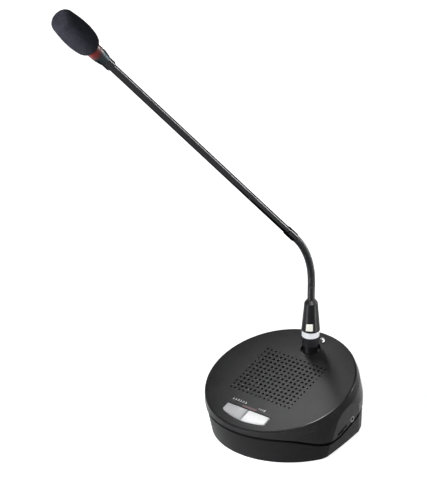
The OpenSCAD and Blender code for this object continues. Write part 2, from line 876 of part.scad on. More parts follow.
module socket_contacts() {
    color("#c9a44a") on_plug() for (a = pin_angles) rotate(a)
        translate([pin_circle_r, 0, socket_low - contact_tail])
            cylinder(r = contact_r, h = contact_tail + well_bottom - socket_low, $fn = 32);
}

module release_tab() {
    color("#c2c4c4") on_tab() {
        translate([0, 0, tab_base_z - tab_drop]) tab_block(0, tab_drop + tab_proud - tab_round);
        translate([0, 0, tab_base_z]) tab_block(-tab_round, tab_proud);
        translate([0, 0, tab_base_z - tab_drop - tab_foot]) tab_block(tab_foot, tab_foot);
    }
}

module plug_barrel() {
    color("#8f9194") on_plug() difference() {
        translate([0, 0, well_bottom + barrel_clear])
            cylinder(r = barrel_r, h = barrel_top - well_bottom - barrel_clear);
        translate([0, 0, well_bottom - over]) cylinder(r = barrel_r - barrel_wall, h = body_depth);
    }
}

module plug_pins() {
    color("#c9a44a") on_plug() {
        translate([0, 0, carrier_z]) cylinder(r = barrel_r - barrel_wall - fit, h = carrier_t);
        for (a = pin_angles) rotate(a) translate([pin_circle_r, 0, carrier_z - pin_len])
            cylinder(r = pin_r, h = pin_len + over, $fn = 32);
    }
}

module plug_collar() {
    color("#2b2b2f") on_plug() difference() {
        union() {
            translate([0, 0, collar_low])
                cylinder(r1 = barrel_r + collar_nose, r2 = collar_r, h = collar_h / 2);
            translate([0, 0, collar_low + collar_h / 2]) cylinder(r = collar_r, h = collar_h / 2);
        }
        translate([0, 0, collar_low - over]) cylinder(r = barrel_r + fit, h = collar_h + 2 * over);
        for (i = [0:collar_ribs - 1]) rotate(i * 360 / collar_ribs)
            translate([collar_r + collar_rib_r / 3, 0, collar_low + collar_rib_end])
                cylinder(r = collar_rib_r, h = collar_h - 2 * collar_rib_end, $fn = 16);
    }
}

module plug_band() {
    color("#d2d4d6") on_plug() translate([0, 0, band_z]) difference() {
        cylinder(r = band_r, h = band_h);
        translate([0, 0, -over]) cylinder(r = barrel_r + fit, h = band_h + 2 * over);
    }
}

module plug_boot() {
    color("#242427") on_plug() difference() {
        rotate_extrude() polygon([
            [0, boot_z], [boot_low_r - boot_edge, boot_z], [boot_low_r, boot_z + boot_edge],
            [boot_top_r, boot_top], [boot_bore_r + boot_edge, neck_z], [0, neck_z]]);
        translate([0, 0, boot_z - over])
            cylinder(r = barrel_r + fit, h = barrel_in_boot + over + fit);
        translate([0, 0, boot_z]) cylinder(r = boot_bore_r, h = body_depth);
    }
}

// One bendable link: a tube with a hollow cup below and a round head at the next joint
module gooseneck_link(i) {
    start = i == 1 ? -anchor_depth : 0;
    color("#2c2c30") on_chain(i - 1, link_lean(i)) difference() {
        union() {
            translate([0, 0, start]) cylinder(r = neck_r, h = link_pitch - start);
            translate([0, 0, link_pitch]) sphere(r = neck_r);
        }
        if (i > 1) sphere(r = cup_r);
    }
}

module stem_coupling() {
    color("#232326") difference() {
        on_stem(coupling_start) cylinder(r = coupling_r, h = coupling_len);
        on_stem(0) sphere(r = cup_r);
        on_stem(stem_start) cylinder(r = stem_r + fit, h = coupling_len);
    }
}

module stem_tube() {
    length = sleeve_t + sleeve_len - stem_start - stem_end_gap;
    color("#37373a") on_stem(stem_start) difference() {
        cylinder(r = stem_r, h = length);
        translate([0, 0, -over]) cylinder(r = stem_r - stem_wall, h = length + 2 * over);
    }
}

module neck_sleeve() {
    color("#232326") on_stem(sleeve_t) difference() {
        cylinder(r = sleeve_r, h = sleeve_len);
        translate([0, 0, -over]) cylinder(r = stem_r + fit, h = sleeve_len + 2 * over);
    }
}

module neck_cone() {
    color("#2a2a2d") on_stem(cone_at) cylinder(r1 = cone_low_r, r2 = cone_top_r, h = cone_len);
}

module lamp_ring() {
    color("#7c1f22") on_stem(ring_at) cylinder(r1 = cone_top_r, r2 = ring_r, h = ring_len);
}

module mic_capsule() {
    color("#9a9ca0") on_stem(foam_at) cylinder(r = capsule_r, h = capsule_len);
}

// Foam windscreen: a drawn-in foot, a bellied body and a flat domed end, hollow over the capsule
module windscreen() {
    foot_arc = [for (i = [0:foam_steps]) let (a = 90 * i / foam_steps)
        [foam_foot_r + (foam_r - foam_foot_r) * sin(a),
         foam_edge + (foam_taper - foam_edge) * (1 - cos(a))]];
    body_arc = [for (i = [1:foam_steps - 1]) let (a = 90 * i / foam_steps)
        [foam_tip_r + (foam_r - foam_tip_r) * cos(a),
         foam_taper + (foam_len - foam_dome - foam_taper) * i / foam_steps]];
    dome_arc = [for (i = [0:foam_steps]) let (a = 90 * i / foam_steps)
        [foam_flat_r + (foam_tip_r - foam_flat_r) * cos(a),
         foam_len - foam_dome + foam_dome * sin(a)]];
    color("#2a2b2f") on_stem(foam_at) difference() {
        rotate_extrude()
            polygon(concat([[0, 0], [foam_foot_r - foam_edge / 2, 0]], foot_arc, body_arc, dome_arc,
                [[0, foam_len]]));
        translate([0, 0, -over])
            cylinder(r = capsule_r + capsule_gap, h = capsule_len + capsule_gap + over);
    }
}

top_cover();
bottom_shell();
rubber_foot();
case_screws();
battery_pack();
battery_cover();
cover_screw();
main_board();
volume_pot();
volume_wheel();
earphone_jack();
speaker_frame();
speaker_cone();
speaker_magnet();
grille_cloth();
key_board();
tact_switches();
key_priority();
key_talk();
indicator_window();
indicator_led();
mic_socket();
socket_insert();
socket_contacts();
release_tab();
plug_barrel();
plug_pins();
plug_collar();
plug_band();
plug_boot();
for (i = [1:links])
    gooseneck_link(i);
stem_coupling();
stem_tube();
neck_sleeve();
neck_cone();
lamp_ring();
mic_capsule();
windscreen();
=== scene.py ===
"""Looks of a desk conference microphone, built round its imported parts.

Metres throughout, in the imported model's own frame: +X is the unit's right, +Y its back and +Z up.
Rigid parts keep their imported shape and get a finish. The bendable neck, the foam windscreen, the
label and the printed signs are new surfaces, each worked out as one grid of points.
"""
import json
import logging
import math
from dataclasses import dataclass, field
from enum import Enum
from functools import cache
from typing import Any, Optional

import bpy
import numpy as np
from mathutils import Matrix, Vector


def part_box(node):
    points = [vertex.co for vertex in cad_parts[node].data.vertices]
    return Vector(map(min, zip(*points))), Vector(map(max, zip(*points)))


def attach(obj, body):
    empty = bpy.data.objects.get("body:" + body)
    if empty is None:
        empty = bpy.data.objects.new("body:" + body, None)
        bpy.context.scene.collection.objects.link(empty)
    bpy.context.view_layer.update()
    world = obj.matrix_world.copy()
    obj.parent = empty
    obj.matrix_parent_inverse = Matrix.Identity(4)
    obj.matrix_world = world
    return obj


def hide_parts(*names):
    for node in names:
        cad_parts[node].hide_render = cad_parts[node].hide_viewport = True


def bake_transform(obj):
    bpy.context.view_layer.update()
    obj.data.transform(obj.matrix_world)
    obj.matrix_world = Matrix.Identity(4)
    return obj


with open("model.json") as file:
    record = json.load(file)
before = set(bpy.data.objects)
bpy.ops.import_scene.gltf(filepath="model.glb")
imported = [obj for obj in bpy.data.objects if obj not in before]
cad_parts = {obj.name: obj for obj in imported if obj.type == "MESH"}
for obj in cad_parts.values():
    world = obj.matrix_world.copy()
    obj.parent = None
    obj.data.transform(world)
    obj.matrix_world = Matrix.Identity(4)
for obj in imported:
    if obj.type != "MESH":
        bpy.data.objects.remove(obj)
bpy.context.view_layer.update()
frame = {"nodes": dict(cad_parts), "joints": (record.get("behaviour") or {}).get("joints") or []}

LOG = logging.getLogger("conference_microphone")
MM = 0.001
FULL_TURN = 2.0 * math.pi
RIGHT = np.array([1.0, 0.0, 0.0])
UP = np.array([0.0, 0.0, 1.0])
Pair = tuple[float, float]
Triple = tuple[float, float, float]
Socket = bpy.types.NodeSocket
BLACK = (0.0, 0.0, 0.0, 1.0)
WHITE = (1.0, 1.0, 1.0, 1.0)


@dataclass(frozen=True)
class Tone:
    """A colour as it is seen on a screen, each part from 0 to 255."""

    red: float
    green: float
    blue: float

    def linear(self, gain: float = 1.0) -> tuple[float, float, float, float]:
        """The colour as light, with its screen curve undone.

        Args:
            gain: Factor on the light of all three parts.

        Returns:
            Red, green, blue and an opaque alpha.
        """
        screen = np.array([self.red, self.green, self.blue]) / 255.0
        low = screen / 12.92
        high = ((screen + 0.055) / 1.055) ** 2.4
        light = np.clip(np.where(screen <= 0.04045, low, high) * gain, 0.0, 1.0)
        return (float(light[0]), float(light[1]), float(light[2]), 1.0)


class NodeWeb:
    """The nodes of a material or a world, with short ways to add and join them."""

    def __init__(self, owner: Any) -> None:
        """Starts from the nodes that the owner has when it is new.

        Args:
            owner: A material or a world.
        """
        owner.use_nodes = True
        self.tree = owner.node_tree

    def add(self, kind: str, values: Optional[dict[Any, Any]] = None,
            **settings: Any) -> bpy.types.Node:
        """Adds a node.

        Args:
            kind: Blender's name for the node.
            values: Input name or index, and the socket to join or the value to set there.
            **settings: The node's own options.

        Returns:
            The new node.
        """
        node = self.tree.nodes.new(kind)
        for option, value in settings.items():
            setattr(node, option, value)
        for key, value in (values or {}).items():
            self.feed(node.inputs[key], value)
        return node

    def feed(self, socket: Socket, value: Any) -> None:
        """Joins another node's output to a socket, or sets the socket's own value."""
        if isinstance(value, Socket):
            self.tree.links.new(value, socket)
        else:
            socket.default_value = value

    def span(self, value: Socket, low: float, high: float, start: float = 0.0,
             end: float = 1.0, clamp: bool = True) -> Socket:
        """Carries a value from one range into another.

        Args:
            value: The value to carry.
            low: What start becomes.
            high: What end becomes.
            start: Start of the value's own range.
            end: End of the value's own range.
            clamp: Whether the result stays between low and high.

        Returns:
            The result's output.
        """
        values = {0: value, 1: start, 2: end, 3: low, 4: high}
        return self.add("ShaderNodeMapRange", values, clamp=clamp).outputs[0]

    def calc(self, operation: str, *values: Any) -> Socket:
        """One step of arithmetic on two or three values."""
        return self.add("ShaderNodeMath", dict(enumerate(values)), operation=operation).outputs[0]


class SurfaceWeb(NodeWeb):
    """The nodes of one finish, round its shader."""

    def __init__(self, name: str) -> None:
        """Starts a material that holds only its shader.

        Args:
            name: Name of the new material.
        """
        self.material = bpy.data.materials.new(name)
        super().__init__(self.material)
        self.shader = self.tree.nodes["Principled BSDF"]
        self.place = self.add("ShaderNodeTexCoord").outputs["Object"]

    def noise(self, size: float, octaves: int) -> Socket:
        """Soft noise, from 0 to 1, with blobs of about the given size and some finer octaves."""
        values = {"Vector": self.place, "Scale": 1.0 / size, "Detail": octaves}
        return self.add("ShaderNodeTexNoise", values).outputs["Fac"]

    def cells(self, size: float) -> Socket:
        """Distance to the nearest of scattered points that lie about the given size apart."""
        values = {"Vector": self.place, "Scale": 1.0 / size}
        return self.add("ShaderNodeTexVoronoi", values).outputs["Distance"]

    def along(self, way: Triple) -> Socket:
        """Distance from the origin along a unit vector."""
        values = {0: self.place, 1: way}
        return self.add("ShaderNodeVectorMath", values, operation="DOT_PRODUCT").outputs["Value"]

    def laid_flat(self, tilt: float) -> Socket:
        """Coordinates in which a plane that rises to the back by the tilt lies level."""
        values = {"Vector": self.place, "Rotation": (-tilt, 0.0, 0.0)}
        return self.add("ShaderNodeMapping", values).outputs[0]

    def shades(self, share: Socket, dark: Any, light: Any) -> Socket:
        """Colour that runs from dark to light as the share goes from 0 to 1."""
        values = {0: share, 6: dark, 7: light}
        return self.add("ShaderNodeMix", values, data_type="RGBA").outputs[2]

    def colour(self) -> Socket:
        """The colour that is joined to the shader so far."""
        return self.shader.inputs["Base Color"].links[0].from_socket

    def relief(self, height: Socket, depth: float) -> None:
        """Bumps the shader's surface by a height from 0 to 1, where 1 stands for the depth."""
        values = {"Height": height, "Distance": depth, "Strength": 1.0}
        self.surface(Normal=self.add("ShaderNodeBump", values).outputs["Normal"])

    def surface(self, **values: Any) -> None:
        """Sets or joins the shader's inputs, with underscores for the spaces in their names."""
        for name, value in values.items():
            self.feed(self.shader.inputs[name.replace("_", " ")], value)


@dataclass(frozen=True)
class Finish:
    """What a surface is made of. Each kind lays a pattern of its own.

    The pattern is a share from 0 to 1. It carries the tone from the first gain to the second, and
    the roughness from the first swing to the second.
    """

    name: str
    tone: Tone
    gains: Pair = (0.9, 1.1)
    roughness: float = 0.3
    swing: Pair = (-0.04, 0.05)
    specular: float = 0.5

    def fill(self, web: SurfaceWeb) -> None:
        """Lays the finish's nodes."""
        raise NotImplementedError

    def coat(self, web: SurfaceWeb, share: Socket, **others: Any) -> None:
        """Gives the shader its colour, roughness and specular level.

        A roughness without swing is the same all over, so it is set on the shader's own socket.

        Args:
            web: The finish's nodes.
            share: The pattern that the colour and the roughness follow.
            **others: Other inputs of the shader.
        """
        dark, light = (self.tone.linear(gain) for gain in self.gains)
        rough: Any = self.roughness
        if any(self.swing):
            rough = web.span(share, self.roughness + self.swing[0], self.roughness + self.swing[1])
        web.surface(Base_Color=web.shades(share, dark, light), Roughness=rough,
                    Specular_IOR_Level=self.specular, **others)

    @cache
    def material(self) -> bpy.types.Material:
        """The finish as a material, made once and then shared."""
        web = SurfaceWeb(self.name)
        self.fill(web)
        return web.material


@dataclass(frozen=True)
class MouldedPlastic(Finish):
    """Plastic with the fine eroded texture of its mould, and faint clouding from the moulding."""

    gains: Pair = (0.94, 1.06)
    roughness: float = 0.5
    swing: Pair = (-0.06, 0.06)
    specular: float = 0.3
    cloud: float = 24.0 * MM
    grain: float = 0.45 * MM
    depth: float = 0.02 * MM

    def fill(self, web: SurfaceWeb) -> None:
        """Colour and roughness follow half the grain and half the clouds. The grain is the bump."""
        cloud = web.noise(self.cloud, octaves=3)
        grain = web.noise(self.grain, octaves=3)
        self.coat(web, web.calc("MULTIPLY_ADD", grain, 0.5, web.calc("MULTIPLY", cloud, 0.5)))
        web.relief(grain, self.depth)


@dataclass(frozen=True)
class SeamShadowPlastic(MouldedPlastic):
    """Moulded plastic of a shell whose inner lip, above the shell's edge, is painted dead black as
    the seam's shadow.
    """

    front_level: float = 28.4 * MM
    fall_start: float = -52.3 * MM
    fall_slope: float = -0.39
    rise_level: float = 12.9 * MM
    rise_slope: float = 0.3
    fall_round: float = 6.3 * MM
    rise_round: float = 24.0 * MM
    seam_shadow_blend: Pair = (0.1 * MM, 0.3 * MM)

    def fill(self, web: SurfaceWeb) -> None:
        """The plastic, with the seam's shadow painted black above the edge: max(rising line,
        min(front level, falling line)).

        Each line is a level at one place and its level a metre further back. The maximum and the
        minimum are rounded ones.
        """
        super().fill(web)
        split = web.add("ShaderNodeSeparateXYZ", {0: web.place}).outputs
        fall = web.span(split["Y"], self.front_level, self.front_level + self.fall_slope,
                        self.fall_start, self.fall_start + 1.0, clamp=False)
        rise = web.span(split["Y"], self.rise_level, self.rise_level + self.rise_slope, clamp=False)
        low = web.calc("SMOOTH_MIN", fall, self.front_level, self.fall_round)
        edge = web.calc("SMOOTH_MAX", rise, low, self.rise_round)
        # Painted shadow: the lip in the seam gap above the edge is turned black, standing in for
        # the gap's shade.
        seam_shadow = web.span(web.calc("SUBTRACT", split["Z"], edge), 0.0, 1.0, *self.seam_shadow_blend)
        web.surface(Base_Color=web.shades(seam_shadow, web.colour(), BLACK))


@dataclass(frozen=True)
class LitWallPlastic(MouldedPlastic):
    """Moulded plastic of a cover whose wall, below the flat of its deck, is a little paler: painted
    light on one plastic, the wall given a lit tone and the deck a shaded one.
    """

    wall_painted_light: Tone = Tone(49, 49, 50)
    tilt: float = 0.0
    level: float = 0.0
    lit_wall_blend: Pair = (-1.2 * MM, -0.2 * MM)

    def fill(self, web: SurfaceWeb) -> None:
        """The plastic, changed to the wall's paler painted-light tone by its depth under the deck's
        plane.
        """
        super().fill(web)
        height = web.along((0.0, -math.sin(self.tilt), math.cos(self.tilt)))
        low, high = self.lit_wall_blend
        deck = web.span(height, 0.0, 1.0, self.level + low, self.level + high)
        # Painted light: the wall below the deck gets the paler lit tone.
        web.surface(Base_Color=web.shades(deck, self.wall_painted_light.linear(), web.colour()))


@dataclass(frozen=True)
class Rubber(Finish):
    """Dull rubber with a dusty bloom and a fine pebbled skin."""

    gains: Pair = (0.8, 1.3)
    roughness: float = 0.75
    swing: Pair = (-0.1, 0.1)
    specular: float = 0.25
    bloom: float = 6.0 * MM
    pebble: float = 0.5 * MM
    depth: float = 0.03 * MM

    def fill(self, web: SurfaceWeb) -> None:
        """Dark rubber, paler where the bloom lies, over a pebbled bump."""
        self.coat(web, web.noise(self.bloom, octaves=4))
        web.relief(web.cells(self.pebble), self.depth)


@dataclass(frozen=True)
class PaintedMetal(Finish):
    """Sprayed paint on metal, with a slight orange peel under its sheen."""

    flow: float = 14.0 * MM
    peel: float = 0.8 * MM
    depth: float = 0.006 * MM

    def fill(self, web: SurfaceWeb) -> None:
        """Paint that varies a little in depth, with a soft peel as bump."""
        self.coat(web, web.noise(self.flow, octaves=2))
        web.relief(web.noise(self.peel, octaves=1), self.depth)


@dataclass(frozen=True)
class BlackOxide(Finish):
    """Metal under a black oxide coat, which shines evenly and stays dark along its edges."""

    swing: Pair = (-0.03, 0.03)
    edge: float = 0.3
    flow: float = 14.0 * MM
    grain: float = 0.8 * MM
    depth: float = 0.001 * MM

    def fill(self, web: SurfaceWeb) -> None:
        """Near-black metal that varies a little in depth, with a very faint drawn grain."""
        self.coat(web, web.noise(self.flow, octaves=2), Metallic=1.0,
                  Specular_Tint=(self.edge, self.edge, self.edge, 1.0))
        web.relief(web.noise(self.grain, octaves=1), self.depth)


@dataclass(frozen=True)
class PlatedMetal(Finish):
    """Bare or plated metal with fine scuffs and a faint tarnish."""

    gains: Pair = (0.75, 1.05)
    swing: Pair = (0.1, -0.08)
    tarnish: float = 3.0 * MM
    scuff: float = 0.25 * MM
    depth: float = 0.004 * MM

    def fill(self, web: SurfaceWeb) -> None:
        """Metal whose tarnish darkens and dulls it in patches, with scuffs as bump."""
        self.coat(web, web.noise(self.tarnish, octaves=4), Metallic=1.0)
        web.relief(web.noise(self.scuff, octaves=2), self.depth)


@dataclass(frozen=True)
class WovenCloth(Finish):
    """Plain woven cloth, its threads square to the deck, with the hollows between threads painted
    darker as their shade.
    """

    gains: Pair = (0.4, 1.3)
    roughness: float = 0.9
    swing: Pair = (0.0, 0.0)
    specular: float = 0.15
    tilt: float = 0.0
    thread: float = 0.55 * MM
    depth: float = 0.12 * MM

    def fill(self, web: SurfaceWeb) -> None:
        """Two sets of crossing threads, each a wave, with the higher of the two on top. The
        threads' relief is bump; the darker colour in their hollows is painted shade.
        """
        values = {"Vector": web.laid_flat(self.tilt), "Scale": 1.0 / (self.thread * FULL_TURN)}
        threads = [web.add("ShaderNodeTexWave", values, wave_type="BANDS", bands_direction=way)
                   for way in ("X", "Y")]
        weave_height_and_shade = web.calc("MAXIMUM", *(thread.outputs["Fac"] for thread in threads))
        # Painted shade: the colour darkens in the hollows between threads.
        self.coat(web, weave_height_and_shade)
        web.relief(weave_height_and_shade, self.depth)


@dataclass(frozen=True)
class OpenFoam(Finish):
    """Open-celled foam: sunk pores between struts, the pores painted darker as their shade, with a
    dull surface.
    """

    gains: Pair = (0.45, 1.35)
    roughness: float = 0.95
    swing: Pair = (0.0, 0.0)
    specular: float = 0.0
    pore: float = 0.75 * MM
    pore_walls: Pair = (0.1, 0.8)
    pore_shade_share: float = 0.65
    mottle: float = 5.0 * MM
    depth: float = 0.25 * MM

    def fill(self, web: SurfaceWeb) -> None:
        """Pores sink the surface and darken the colour as painted shade, and broad mottling breaks
        them up.
        """
        pore_height_and_shade = web.span(web.cells(self.pore), 1.0, 0.0, *self.pore_walls)
        mottle = web.calc("MULTIPLY", web.noise(self.mottle, octaves=3), 1.0 - self.pore_shade_share)
        # Painted shade: the colour darkens where the pores sink.
        self.coat(web, web.calc("MULTIPLY_ADD", pore_height_and_shade, self.pore_shade_share, mottle))
        web.relief(pore_height_and_shade, self.depth)


@dataclass(frozen=True)
class TintedPlastic(Finish):
    """Deeply tinted plastic with a smooth skin, which may fade to another tone along a way."""

    gains: Pair = (0.6, 1.5)
    swing: Pair = (-0.03, 0.05)
    specular: float = 0.2
    flow: float = 4.0 * MM
    ripple: float = 1.5 * MM
    depth: float = 0.01 * MM
    far_tone: Optional[Tone] = None
    way: Triple = (0.0, 0.0, 1.0)
    far: float = 0.0
    near: float = 1.0

    def fill(self, web: SurfaceWeb) -> None:
        """A tint that varies with the flow of the plastic, over soft ripples as bump."""
        self.coat(web, web.noise(self.flow, octaves=2))
        if self.far_tone is not None:
            share = web.span(web.along(self.way), 0.0, 1.0, self.far, self.near)
            web.surface(Base_Color=web.shades(share, self.far_tone.linear(), web.colour()))
        web.relief(web.noise(self.ripple, octaves=1), self.depth)


@dataclass(frozen=True)
class CircuitBoard(Finish):
    """Solder mask with copper tracks showing through as paler lines."""

    gains: Pair = (0.8, 1.6)
    roughness: float = 0.4
    swing: Pair = (0.0, -0.1)
    tilt: float = 0.0
    track: float = 2.4 * MM
    track_walls: Pair = (0.36, 0.4)
    depth: float = 0.03 * MM

    def fill(self, web: SurfaceWeb) -> None:
        """Cells measured by their longer side give square tracks along the walls between them."""
        values = {"Vector": web.laid_flat(self.tilt), "Scale": 1.0 / self.track}
        cell = web.add("ShaderNodeTexVoronoi", values, distance="CHEBYCHEV").outputs["Distance"]
        track = web.span(cell, 0.0, 1.0, *self.track_walls)
        self.coat(web, track)
        web.relief(track, self.depth)


@dataclass(frozen=True)
class PressedPaper(Finish):
    """Paper, card or film: the speaker's cone, the battery's wrap, the label and the signs."""

    gains: Pair = (0.92, 1.06)
    roughness: float = 0.7
    swing: Pair = (-0.08, 0.08)
    specular: float = 0.3
    fibre: float = 0.6 * MM
    depth: float = 0.015 * MM

    def fill(self, web: SurfaceWeb) -> None:
        """Fibres tint the colour a little and roughen the surface."""
        fibre = web.noise(self.fibre, octaves=5)
        self.coat(web, fibre)
        web.relief(fibre, self.depth)


def unit(vectors: np.ndarray) -> np.ndarray:
    """Vectors along the last axis, brought to a length of one."""
    return vectors / np.linalg.norm(vectors, axis=-1, keepdims=True)


def distance_along(line: np.ndarray) -> np.ndarray:
    """Each point's distance from the line's start, summed from point to point."""
    return np.concatenate([[0.0], np.cumsum(np.linalg.norm(np.diff(line, axis=0), axis=1))])


def put_in_scene(name: str, points: np.ndarray, faces: list[np.ndarray]) -> bpy.types.Object:
    """Makes a smooth closed mesh, turned so that its faces point outwards.

    The signed volume, a sixth of the sum of each triangle's triple product, tells which way the
    faces point: where it is below zero, every face is turned round.

    Args:
        name: Name of the piece.
        points: Vertices, one row each.
        faces: Arrays of vertex numbers, one row a face, each array with its own number of corners.

    Returns:
        The new object, at the origin.
    """
    volume = 0.0
    for group in faces:
        first = points[group[:, 0]]
        for k in range(1, group.shape[1] - 1):
            second, third = points[group[:, k]], points[group[:, k + 1]]
            volume += float(np.einsum("ij,ij->", first, np.cross(second, third)))
    if volume < 0.0:
        faces = [group[:, ::-1] for group in faces]
    mesh = bpy.data.meshes.new(name)
    mesh.from_pydata(points.tolist(), [], [row for group in faces for row in group.tolist()])
    mesh.polygons.foreach_set("use_smooth", np.ones(len(mesh.polygons), bool))
    mesh.validate()
    mesh.update()
    piece = bpy.data.objects.new(name, mesh)
    bpy.context.scene.collection.objects.link(piece)
    LOG.info("piece %s: %d vertices, %d faces", name, len(points), len(mesh.polygons))
    return piece


def ring_faces(rows: int, columns: int) -> np.ndarray:
    """Four-cornered faces of a grid whose columns wrap round.

    Args:
        rows: Number of rings.
        columns: Points on a ring.

    Returns:
        Vertex numbers, one row a face.
    """
    row, column = np.meshgrid(np.arange(rows - 1), np.arange(columns), indexing="ij")
    here = row * columns + column
    beside = row * columns + (column + 1) % columns
    return np.stack([here, beside, beside + columns, here + columns], axis=-1).reshape(-1, 4)


def closed_rings(name: str, grid: np.ndarray) -> bpy.types.Object:
    """Skins a row of rings and closes both ends with a fan to the end ring's middle.

    Args:
        name: Name of the piece.
        grid: Points, as ring, place on the ring and coordinate.

    Returns:
        The piece.
    """
    rows, columns = grid.shape[:2]
    ends = np.stack([grid[0].mean(axis=0), grid[-1].mean(axis=0)])
    points = np.concatenate([grid.reshape(-1, 3), ends])
    here = np.arange(columns)
    beside = (here + 1) % columns
    last = (rows - 1) * columns
    low = np.stack([np.full(columns, rows * columns), beside, here], axis=-1)
    high = np.stack([np.full(columns, rows * columns + 1), last + here, last + beside], axis=-1)
    return put_in_scene(name, points, [ring_faces(rows, columns), np.concatenate([low, high])])


def plate(name: str, top: np.ndarray, bottom: np.ndarray) -> bpy.types.Object:
    """A thin closed plate between two grids: each row's top and bottom together make one ring.

    Args:
        name: Name of the piece.
        top: Points of the upper side, as row, column and coordinate.
        bottom: Points of the lower side, in the same order.

    Returns:
        The piece.
    """
    return closed_rings(name, np.concatenate([top, bottom[:, ::-1]], axis=1))


def even_steps(line: np.ndarray, step: float) -> np.ndarray:
    """Points along a line at even distances.

    Args:
        line: Points of the line.
        step: About how far apart the new points lie.

    Returns:
        The new points, with the line's own ends.
    """
    along = distance_along(line)
    count = max(2, int(round(along[-1] / step)) + 1)
    wanted = np.linspace(0.0, along[-1], count)
    return np.stack([np.interp(wanted, along, line[:, k]) for k in range(line.shape[1])], axis=-1)


def across(direction: np.ndarray) -> tuple[np.ndarray, np.ndarray]:
    """Two unit vectors square to a direction and to each other.

    Args:
        direction: Unit vector that isn't along X.

    Returns:
        The first lies nearest to +X, and first, second and direction are right-handed.
    """
    first = unit(RIGHT - direction[0] * direction)
    return first, np.cross(direction, first)


def node_points(node: str) -> np.ndarray:
    """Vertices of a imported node, one row each."""
    mesh = frame["nodes"][node].data
    flat = np.empty(len(mesh.vertices) * 3)
    mesh.vertices.foreach_get("co", flat)
    return flat.reshape(-1, 3)


def joint_named(name: str) -> dict[str, Any]:
    """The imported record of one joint."""
    return next(j for j in frame["joints"] if j["name"] == name)


@dataclass
class DeckFrame:
    """The tilted deck's own frame: u to the right, v up the slope and n out of the deck."""

    normal: np.ndarray = field(init=False)
    slope: np.ndarray = field(init=False)
    centre: np.ndarray = field(init=False)

    def __post_init__(self) -> None:
        """Reads the keys' direction of travel and the top cover's height from the frame."""
        self.normal = -np.array(joint_named("key_talk_press")["axis"])
        self.slope = np.array([0.0, self.normal[2], -self.normal[1]])
        height = (node_points("top_cover") @ self.normal).max() / self.normal[2]
        self.centre = np.array([0.0, 0.0, height])

    @property
    def tilt(self) -> float:
        """Angle between the deck and the desk."""
        return math.atan2(-self.normal[1], self.normal[2])

    def level(self) -> float:
        """Distance from the origin to the deck's plane, along its normal."""
        return float(self.centre @ self.normal)

    def at(self, u: np.ndarray, v: np.ndarray, n: float) -> np.ndarray:
        """Points given in the deck's frame.

        Args:
            u: Distance to the right.
            v: Distance up the slope.
            n: Height above the deck.

        Returns:
            The points in the model's frame.
        """
        return self.centre + u[..., None] * RIGHT + v[..., None] * self.slope + n * self.normal


@dataclass
class StemAxis:
    """The straight stem's axis, from the neck's last joint to the microphone."""

    start: np.ndarray = field(init=False)
    way: np.ndarray = field(init=False)

    def __post_init__(self) -> None:
        """The stem tube is straight, so the middle of its box lies on the axis."""
        self.start = np.array(joint_named("gooseneck_sway_4")["pos_m"])
        low, high = (np.array(corner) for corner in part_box("stem_tube"))
        self.way = unit((low + high) / 2.0 - self.start)

    def reach(self, node: str) -> Pair:
        """Where a node starts and ends along the axis."""
        along = (node_points(node) - self.start) @ self.way
        return float(along.min()), float(along.max())

    def radius(self, node: str) -> float:
        """A node's greatest distance from the axis."""
        offset = node_points(node) - self.start
        outward = offset - np.outer(offset @ self.way, self.way)
        return float(np.linalg.norm(outward, axis=1).max())

    def revolve(self, profile: np.ndarray, sides: int) -> np.ndarray:
        """Turns a profile round the axis: point = start + along * way + radius * ring.

        Args:
            profile: Rows of radius and distance along the axis.
            sides: Points on each ring.

        Returns:
            A grid of rings.
        """
        first, second = across(self.way)
        angle = np.linspace(0.0, FULL_TURN, sides, endpoint=False)
        ring = np.outer(np.cos(angle), first) + np.outer(np.sin(angle), second)
        middle = self.start + np.outer(profile[:, 1], self.way)
        return middle[:, None, :] + profile[:, 0, None, None] * ring[None, :, :]


Dressing = dict[Finish, tuple[str, ...]]


class SubAssembly:
    """A group of parts that come off the bench together."""

    def finishes(self) -> Dressing:
        """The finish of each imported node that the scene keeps."""
        raise NotImplementedError

    def shapes(self) -> None:
        """Builds the group's new pieces. A group with none has nothing to do here."""

    def build(self) -> None:
        """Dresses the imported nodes, then adds the new pieces."""
        for finish, nodes in self.finishes().items():
            for node in nodes:
                dress(frame["nodes"][node], finish)
                LOG.info("node %s: %s", node, finish.name)
        self.shapes()


def dress(piece: bpy.types.Object, finish: Finish) -> None:
    """Gives a piece one finish all over."""
    piece.data.materials.clear()
    piece.data.materials.append(finish.material())


@dataclass
class Casing(SubAssembly):
    """The two shells, the rubber foot, the screws and the battery under its cover."""

    deck: DeckFrame

    def finishes(self) -> Dressing:
        """Black moulded shells, with painted light on the top cover's wall and a painted seam
        shadow on the lower shell's lip, dull rubber, plated screws and a wrapped battery.
        """
        return {
            # Top cover: its paler wall and darker deck are painted light and shade on one plastic.
            LitWallPlastic("shell_black", Tone(22, 22, 23), roughness=0.28, specular=0.04,
                          tilt=self.deck.tilt, level=self.deck.level()):
                ("top_cover",),
            # Lower shell: its lip in the seam is painted black as the seam's shadow.
            SeamShadowPlastic("lower_shell_black", Tone(38, 38, 39), roughness=0.45, specular=0.04,
                          grain=0.6 * MM, depth=0.03 * MM):
                ("bottom_shell", "battery_cover"),
            Rubber("foot_rubber", Tone(30, 30, 31)): ("rubber_foot",),
            PlatedMetal("screw_plating", Tone(150, 150, 152)): ("case_screws", "cover_screw"),
            PressedPaper("battery_wrap", Tone(70, 100, 130), roughness=0.4): ("battery_pack",),
        }


